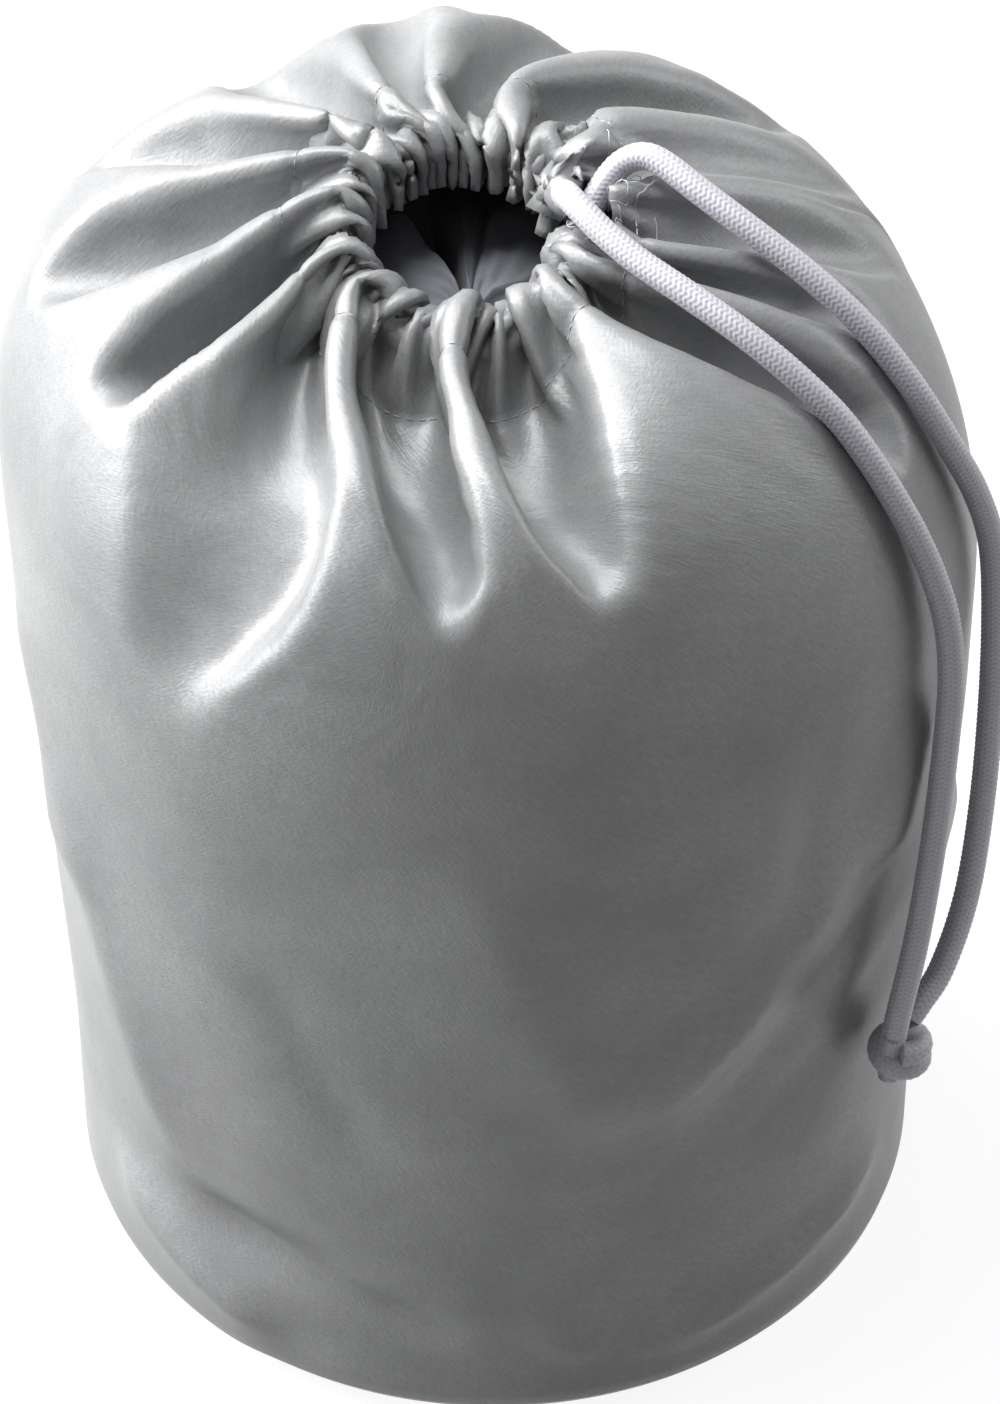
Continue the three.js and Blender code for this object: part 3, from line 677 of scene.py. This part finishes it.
# The two free strands of the cord lie over the shoulder and press into the cloth. Their routes run
# from the open end of the casing to the knot, in millimetres.
FRONT_ROUTE = [
    (15.4, 7.6, 330.9), (17.3, 4.9, 330.9), (18.6, 1.5, 332.9), (18.3, -2.6, 337.4),
    (17.8, -7.2, 341.8), (18.8, -12.6, 344.6), (22.0, -18.2, 344.6), (27.4, -24.4, 342.4),
    (35.8, -31.8, 339.2), (46.4, -39.2, 335.8), (58.6, -46.6, 330.8), (68.4, -51.6, 325.2),
    (77.0, -55.2, 318.6), (85.4, -58.0, 310.4), (92.8, -60.4, 300.4), (99.8, -62.3, 288.8),
    (105.6, -63.4, 277.6), (111.0, -64.2, 264.4), (115.4, -65.0, 249.0), (117.4, -66.4, 230.0),
    (117.0, -68.6, 205.0), (115.4, -71.6, 175.0), (112.6, -75.4, 146.0), (109.4, -78.0, 124.0),
    (108.2, -78.4, 114.0),
]
REAR_ROUTE = [
    (18.7, -14.1, 326.3), (19.9, -10.2, 327.0), (21.6, -5.4, 328.8), (24.6, -1.0, 333.0),
    (28.4, 2.4, 338.8), (32.8, 4.0, 343.4), (38.0, 3.2, 345.8), (43.4, 0.0, 345.2),
    (52.0, -6.6, 341.8), (63.4, -13.8, 336.4), (76.7, -20.6, 328.8), (88.2, -25.8, 320.2),
    (97.8, -29.4, 310.4), (107.0, -32.2, 298.0), (116.4, -32.6, 281.0), (124.2, -30.6, 264.0),
    (129.4, -29.0, 246.0), (131.8, -29.0, 222.0), (132.6, -32.2, 192.0), (131.6, -39.0, 162.0),
    (128.2, -50.0, 138.0), (121.6, -62.6, 123.0), (115.4, -70.4, 117.2), (112.6, -72.9, 114.0),
]
CORD_DIAMETER = 7.0
ROUTE_STEP = 0.6
KNOT = (110.3, -75.5, 104.0)


def length_along(line):
    """Length from the start of a line to each of its points."""
    return np.concatenate([[0], np.cumsum(np.linalg.norm(np.diff(line, axis=0), axis=1))])


def at_length(where, length, values):
    """Values, one row for each point of a line, at other lengths along it."""
    return np.stack([np.interp(where, length, values[:, k]) for k in range(3)], 1)


def smooth_route(points, step):
    """A smooth curve through points, as evenly spaced points."""
    points = np.asarray(points, float)
    before = np.concatenate([[2 * points[0] - points[1]], points[:-1]])
    after = np.concatenate([points[1:], [2 * points[-1] - points[-2]]])
    slope = (after - before) / 2
    fine = []
    for a, b, sa, sb in zip(points[:-1], points[1:], slope[:-1], slope[1:]):
        t = np.linspace(0, 1, 24, endpoint=False)[:, None]
        fine.append((2 * t ** 3 - 3 * t ** 2 + 1) * a + (t ** 3 - 2 * t ** 2 + t) * sa
                    + (3 * t ** 2 - 2 * t ** 3) * b + (t ** 3 - t ** 2) * sb)
    fine = np.concatenate(fine + [points[-1:]])
    length = length_along(fine)
    return at_length(np.linspace(0, length[-1], max(int(round(length[-1] / step)), 2) + 1), length, fine)


# Only cloth within NEAR of a strand's box is tried, AT_ONCE points at a time. A dent is evened out
# SPREADING times, and so reaches that many points further.
NEAR, AT_ONCE, SPREADING = 8, 2000, 6


def press_in(cloth, route, clear):
    """Press the cloth inwards under a strand, until every point is clear of its centre line."""
    inward = -cloth_normals(cloth)
    inward[..., :2] -= 0.6 * cloth[..., :2] / (np.linalg.norm(cloth[..., :2], axis=2, keepdims=True) + 1)
    inward /= np.linalg.norm(inward, axis=2, keepdims=True)
    flat = cloth.reshape(-1, 3)
    near = np.nonzero(((flat > route.min(0) - NEAR) & (flat < route.max(0) + NEAR)).all(1))[0]
    depth = np.zeros(len(flat))
    for start in range(0, len(near), AT_ONCE):
        some = near[start:start + AT_ONCE]
        apart = flat[some][:, None] - route[None]
        closest = (apart ** 2).sum(2).argmin(1)
        apart = apart[np.arange(len(some)), closest]
        way_in = inward.reshape(-1, 3)[some]
        along = (apart * way_in).sum(1)
        gap = clear ** 2 - (apart ** 2).sum(1)
        depth[some] = np.where(gap > 0, np.sqrt(np.maximum(along ** 2 + gap, 0)) - along, 0)
    depth = depth.reshape(cloth.shape[:2])
    spread = depth.copy()
    for _ in range(SPREADING):
        sides = (np.roll(spread, 1, 1) + np.roll(spread, -1, 1)) / 2
        ends = np.concatenate([spread[:1], (spread[:-2] + spread[2:]) / 2, spread[-1:]])
        spread = np.maximum(depth, (spread + sides + ends) / 3)
    return cloth + inward * spread[..., None]


front_route, rear_route = smooth_route(FRONT_ROUTE, ROUTE_STEP), smooth_route(REAR_ROUTE, ROUTE_STEP)
ways, cloth = gathered_cloth()
clearance = CORD_DIAMETER / 2 + CLOTH / 2 + 0.35
for _ in range(3):
    for route in (front_route, rear_route):
        cloth = press_in(cloth, route, clearance)

# The side seam draws the cloth into a fine groove, with a low welt of seam allowance behind it.
SEAM_COLUMN = 22
SEAM_RISES = {-2: 0.35, 0: -0.75, 2: 0.55, 4: 0.35}
cloth = np.roll(cloth, -SEAM_COLUMN, axis=1)
seam_rise = smooth((ways - STITCH_WAY) / 6)[:, None] * np.array(list(SEAM_RISES.values()))
cloth[:, list(SEAM_RISES)] += cloth_normals(cloth)[:, list(SEAM_RISES)] * seam_rise[..., None]
# Sewing draws the cloth in along the stitch line of the casing.
HEM_GROOVE, HEM_GROOVE_WIDTH = 0.7, 1.6
hem_groove = HEM_GROOVE * np.exp(-((ways - STITCH_WAY) / HEM_GROOVE_WIDTH) ** 2)[:, None, None]
cloth -= cloth_normals(cloth) * hem_groove

# The foot rests on the floor.
cloth[..., 2] = np.maximum(cloth[..., 2], CLOTH / 2 + 0.1)

# The casing is open between these angles, down to this way, where both strands leave it.
SLOT = (-12.0, 20.0)
SLOT_DEPTH = 7.0
rim_angle = np.roll(half_turn(np.degrees(RIM_ANGLE)), -SEAM_COLUMN)
in_slot = (rim_angle > SLOT[0]) & (rim_angle < SLOT[1])


def bag_mesh(cloth, ways):
    """The wall as one sheet: every column down to the shoulder, and every second one below it."""
    split = int(np.searchsorted(ways, FINE_END))
    points, row_start, every = [], [], []
    for i in range(len(ways)):
        row_start.append(len(points))
        every.append(1 if i <= split else 2)
        points += list(cloth[i, ::every[i]])
    number = lambda i, j: row_start[i] + (j % COLUMNS) // every[i]
    faces, corners = [], []
    for i in range(len(ways) - 1):
        in_hem = ways[i] < SLOT_DEPTH
        for j in range(0, COLUMNS, every[i + 1]):
            if in_hem and in_slot[j] and in_slot[(j + 1) % COLUMNS]:
                continue
            right = j + every[i + 1]
            cell = [(i, j), (i + 1, j), (i + 1, right), (i, right)]
            if every[i] != every[i + 1]:
                cell.append((i, j + 1))
            faces.append([number(*corner) for corner in cell])
            corners += [(column * YARN_GAP, ways[row]) for row, column in cell]
    return points, faces, corners


points, faces, corners = bag_mesh(cloth, ways)
wall = mesh_piece("bag_cloth", points, faces, silver_cloth, corners)
give_thickness(wall)
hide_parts("bag_wall")
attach(wall, "root")


# Spun polyester sewing thread, pale grey and matt.
thread = new_material("grey polyester thread", {
    "Base Color": linear("#9fa2a5"), "Roughness": 0.7, "Sheen Weight": 0.3})[0]


def rings_along(centre, sides):
    """Rings of directions across a line at each of its points, which don't twist along it."""
    ahead = np.gradient(centre, axis=0)
    ahead /= np.linalg.norm(ahead, axis=1, keepdims=True)
    side = np.cross(ahead[0], (0, 0, 1) if abs(ahead[0][2]) < 0.9 else (1, 0, 0))
    turn = np.arange(sides) / sides * TURN
    rings = []
    for direction in ahead:
        side = side - direction * np.dot(side, direction)
        side /= np.linalg.norm(side)
        rings.append(np.outer(np.cos(turn), side) + np.outer(np.sin(turn), np.cross(direction, side)))
    return rings


def tube(centre, radius, first):
    """Points and faces of a thin closed tube along a centre line."""
    rings = [point + radius * ring for point, ring in zip(centre, rings_along(centre, THREAD_SIDES))]
    at, faces = ring_faces(len(rings), THREAD_SIDES, first)
    start, end = ([at(i, j) for j in range(THREAD_SIDES)] for i in (0, len(rings) - 1))
    return list(np.concatenate(rings)), faces + [start[::-1], end]


# A stitch lies on the cloth for its length, with its ends sunk in, and the next starts one step on.
THREAD_RADIUS, THREAD_SIDES = 0.2, 5
STITCH_LENGTH, STITCH_STEP = 2.3, 3.2
STITCH_RISES = np.array([-0.15, 0.12, 0.18, 0.12, -0.15])


def stitches(line, normal):
    """A lockstitch along a line of points with their normals."""
    points, faces = [], []
    length = length_along(line)
    for start in np.arange(0.5, length[-1] - 3, STITCH_STEP):
        place = np.linspace(start, start + STITCH_LENGTH, len(STITCH_RISES))
        out = at_length(place, length, normal) * (CLOTH / 2 + STITCH_RISES)[:, None]
        ring, sides = tube(at_length(place, length, line) + out, THREAD_RADIUS, len(points))
        points += ring
        faces += sides
    return points, faces


normal = cloth_normals(cloth)
hem_row = int(np.searchsorted(ways, STITCH_WAY))
outside_slot = np.nonzero(~in_slot)[0]
outside_slot = np.roll(outside_slot, -int(np.argmax(np.diff(outside_slot) > 1)) - 1)
hem_stitches = stitches(cloth[hem_row, outside_slot], normal[hem_row, outside_slot])
hem_stitching = mesh_piece("hem_stitching", *hem_stitches, thread)
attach(hem_stitching, "root")

# ---- Drawcord ----
# One 7 mm braided polyester cord, white with a cool cast, runs through the casing. Its two ends leave
# the open end of the casing, cross the shoulder and are tied together in an overhand knot.

BRAID_COLUMNS, BRAID_ROW, BRAID_RELIEF = 8, 1.5, 0.28
CORD_GIRTH = 22


def cord_material():
    """Braided polyester cord: cool white and softly glossy, with painted shade where one strand dips under
    the next.
    """
    material, tree, shader = new_material("white braided polyester cord", {
        "Roughness": 0.6, "Specular IOR Level": 1.0, "Coat Weight": 0.8, "Coat Roughness": 0.5,
        "Sheen Weight": 0.35, "Sheen Roughness": 0.4})
    # The braid's height paints shade into the colour: darker where a strand dips under the next, paler on
    # top.
    relief = add_node(tree, "ShaderNodeAttribute", attribute_name="painted_braid_shade").outputs["Fac"]
    colour_by(tree, relief, "#9d9ba7", "#cfced6")
    place = add_node(tree, "ShaderNodeUVMap", uv_map="Cloth").outputs["UV"]
    fuzz = add_node(tree, "ShaderNodeTexNoise", {"Vector": place, "Scale": 1500.0, "Detail": 2.0})
    tree.links.new(relief_of(tree, fuzz.outputs["Fac"], 0.4, 0.12), shader.inputs["Normal"])
    return material


braid = cord_material()


def braided_tube(centre, sides, first):
    """Points, faces, UVs and relief of a braided tube, the relief also painting shade into its dips: its
    rows slant one way and the other in turn.
    """
    length = length_along(centre)
    turn = np.arange(sides) / sides * TURN
    points, heights = [], []
    for point, ring, place in zip(centre, rings_along(centre, sides), length):
        row = np.cos(TURN * place / BRAID_ROW + 1.9 * np.sin(BRAID_COLUMNS * turn))
        height = 0.5 + 0.34 * row + 0.16 * np.cos(2 * BRAID_COLUMNS * turn)
        radius = CORD_DIAMETER / 2 + BRAID_RELIEF * (height - 0.7)
        points.append(point + radius[:, None] * ring)
        heights.append(height)
    count = len(points)
    points = np.concatenate(points + [centre[:1], centre[-1:]])
    heights = np.concatenate(heights + [[0.5, 0.5]])
    at, faces = ring_faces(count, sides, first)
    corners = [(side * CORD_GIRTH / sides, length[ring]) for i in range(count - 1) for j in range(sides)
               for side, ring in ((j, i), (j + 1, i), (j + 1, i + 1), (j, i + 1))]
    for j in range(sides):
        faces.append((at(0, j + 1), at(0, j), first + count * sides))
        faces.append((at(count - 1, j), at(count - 1, j + 1), first + count * sides + 1))
        corners += [(0, 0)] * 6
    return points, faces, corners, heights


def braided_cord(name, centres, sides=48):
    """One piece of one or more braided tubes."""
    points, faces, corners, heights = np.zeros((0, 3)), [], [], np.zeros(0)
    for centre in centres:
        more = braided_tube(centre, sides, len(points))
        points, heights = np.concatenate([points, more[0]]), np.concatenate([heights, more[3]])
        faces += more[1]
        corners += more[2]
    piece = mesh_piece(name, points, faces, braid, corners)
    # The braid's heights go on each point, to paint shade into the dips of the braid.
    piece.data.attributes.new("painted_braid_shade", "FLOAT", "POINT").data.foreach_set("value", heights)
    return piece


inside = casing_ring(np.radians(np.linspace(32, 346, 400)))
# The ends of the hidden part bend in to meet the two free strands.
ease = 1 - smooth(np.arange(60) / 60.0)[:, None]
inside[:60] += ease * (front_route[0] - inside[0])
inside[:-61:-1] += ease * (rear_route[0] - inside[-1])
hidden_route = smooth_route(inside[::8], ROUTE_STEP)
hidden_cord = braided_cord("cord_in_casing", [hidden_route], 24)
front_cord = braided_cord("cord_front", [smooth_route(FRONT_ROUTE, 0.3)])
rear_cord = braided_cord("cord_rear", [smooth_route(REAR_ROUTE, 0.3)])


def knot_lines():
    """The overhand knot: both strands run down through one tight turn of the pair and end below it."""
    middle = np.array(KNOT)
    down = np.linspace(9.0, -7.5, 12)
    bow = np.cos(down / 9.0 * math.pi / 2)
    first = np.stack([-1.9 - 0.8 * bow, -2.6 + 1.2 * bow, down], 1)
    second = np.stack([2.0 + 0.8 * bow, 2.4 - 1.0 * bow, down - 0.6], 1)
    turn = np.linspace(-0.25, 1.12, 26) * TURN
    wrap = np.stack([5.4 * np.cos(turn), 4.6 * np.sin(turn), 3.1 - 5.2 * turn / TURN], 1)
    wrap[:, 2] += 1.2 * np.sin(turn)
    return [smooth_route(middle + line, 0.35) for line in (first, second, wrap)]


knot = braided_cord("cord_knot", knot_lines(), 32)
for piece, node in ((hidden_cord, "drawcord_in_casing"), (front_cord, "drawcord_front"),
                    (rear_cord, "drawcord_rear"), (knot, "drawcord_knot")):
    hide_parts(node)
    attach(piece, "root")
for piece, route, points in ((front_cord, front_route, FRONT_ROUTE), (rear_cord, rear_route, REAR_ROUTE)):
    [tuple(p * MM) for p in smooth_route(points, 2.0)]

# ---- Loose threads ----
# The open end of the casing is raw: fine pale yarns have frayed out of its edge between the strands.

THREADS, THREAD_SEED, YARN_RADIUS, YARN_STEP = 16, 4, 0.11, 1.3
FRAY_MIDDLE, FRAY_SPREAD = (29.0, -4.5, 339.5), (6.0, 8.0, 1.5)
ABOVE_BAG = 365.0


def loose_threads():
    """Thin curling yarns that start at the raw edge and lie over the cloth between the strands."""
    chance = np.random.default_rng(THREAD_SEED)
    surface = BVHTree.FromObject(wall, bpy.context.evaluated_depsgraph_get())
    points, faces = [], []
    for _ in range(THREADS):
        start = np.array(FRAY_MIDDLE) + chance.uniform(-1, 1, 3) * FRAY_SPREAD
        heading = chance.uniform(0, TURN)
        bend = chance.uniform(-0.5, 0.5)
        line, place = [], start.copy()
        for step in range(int(chance.integers(7, 16))):
            heading += bend + chance.normal(0, 0.18)
            place = place + np.array([math.cos(heading), math.sin(heading), 0.0]) * YARN_STEP
            hit = surface.ray_cast(Vector((place[0], place[1], ABOVE_BAG)) * MM, Vector((0, 0, -1)))[0]
            if hit is None:
                break
            line.append([place[0], place[1], hit.z / MM + 0.35 + 1.1 * abs(math.sin(step * 0.7))])
        if len(line) < 5:
            continue
        ring, sides = tube(smooth_route(line, 0.5), YARN_RADIUS, len(points))
        points += ring
        faces += sides
    return points, faces


# Unravelled polyester filament: thin, nearly white, a little glossy.
loose_yarn = new_material("unravelled polyester yarn", {
    "Base Color": linear("#dadbdc"), "Roughness": 0.5})[0]
threads = mesh_piece("frayed_threads", *loose_threads(), loose_yarn)
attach(threads, "root")

# ---- Room and camera ----
# A plain pale floor, a white backdrop and soft lamps, the strongest above and behind on the left.


def shown(tree):
    """1 for what the camera sees, straight, mirrored or through glass, and 0 for light on the part."""
    rays = add_node(tree, "ShaderNodeLightPath").outputs
    seen = add_node(tree, "ShaderNodeMath", {0: rays["Is Camera Ray"], 1: rays["Is Glossy Ray"]},
                    operation="MAXIMUM")
    return add_node(tree, "ShaderNodeMath", {0: seen.outputs[0], 1: rays["Is Transmission Ray"]},
                    operation="MAXIMUM").outputs[0]


def room_material():
    """Matt pale studio floor. To the camera and in reflections it is lifted towards white."""
    material, tree, shader = new_material("matt pale studio floor", {
        "Base Color": linear("#6e6e6e"), "Roughness": 0.9, "Emission Color": linear("#ffffff")})
    lift = add_node(tree, "ShaderNodeMath", {0: shown(tree), 1: 0.9}, operation="MULTIPLY")
    tree.links.new(lift.outputs[0], shader.inputs["Emission Strength"])
    return material


bpy.ops.mesh.primitive_plane_add(size=8.0, location=(0, 0, 0))
floor = bpy.context.object
floor.name = "studio_floor"
floor.data.materials.append(room_material())
floor.select_set(False)

world = bpy.data.worlds.new("studio")
bpy.context.scene.world = world
world.use_nodes = True
sky = world.node_tree
sky.nodes.clear()
soft, white = (add_node(sky, "ShaderNodeBackground", {"Color": linear("#ffffff"), "Strength": strength})
               for strength in (0.06, 1.0))
choice = add_node(sky, "ShaderNodeMixShader", {"Fac": shown(sky), 1: soft.outputs[0], 2: white.outputs[0]})
add_node(sky, "ShaderNodeOutputWorld", {"Surface": choice.outputs[0]})

# Each square lamp: place, width and power in watts. All are turned to the middle of the bag.
LAMPS = [
    ("left", (-1.15, 0.35, 0.95), 0.9, 33), ("low left", (-1.2, -0.1, 0.45), 0.7, 9),
    ("back left", (-0.9, 0.9, 1.1), 0.9, 5), ("top", (-0.35, 0.15, 1.5), 0.9, 21),
    ("right", (1.1, 0.3, 0.7), 0.7, 4),
]
LAMP_AIM = Vector((0, 0, 0.2))
for name, place, wide, power in LAMPS:
    lamp = bpy.data.lights.new(name, "AREA")
    lamp.shape, lamp.size, lamp.size_y, lamp.energy = "RECTANGLE", wide, wide, power
    light = bpy.data.objects.new(name, lamp)
    light.location = place
    light.rotation_euler = (LAMP_AIM - Vector(place)).to_track_quat("-Z", "Y").to_euler()
    bpy.context.scene.collection.objects.link(light)

# The lens looks down at 42 degrees from the front, 1.4 m from the point it is turned to.
VIEW_DOWN, VIEW_DISTANCE, VIEW_X, VIEW_HEIGHT = math.radians(42), 1.400, 0.0015, 0.1636
camera = bpy.data.cameras.new("camera")
camera.sensor_fit, camera.sensor_height, camera.lens = "VERTICAL", 24.0, 86.85
viewer = bpy.data.objects.new("camera", camera)
viewer.location = (VIEW_X, -VIEW_DISTANCE * math.cos(VIEW_DOWN),
                   VIEW_HEIGHT + VIEW_DISTANCE * math.sin(VIEW_DOWN))
viewer.rotation_euler = (math.pi / 2 - VIEW_DOWN, 0, 0)
bpy.context.scene.collection.objects.link(viewer)
bpy.context.scene.camera = viewer
bpy.context.scene.view_settings.view_transform = "Standard"
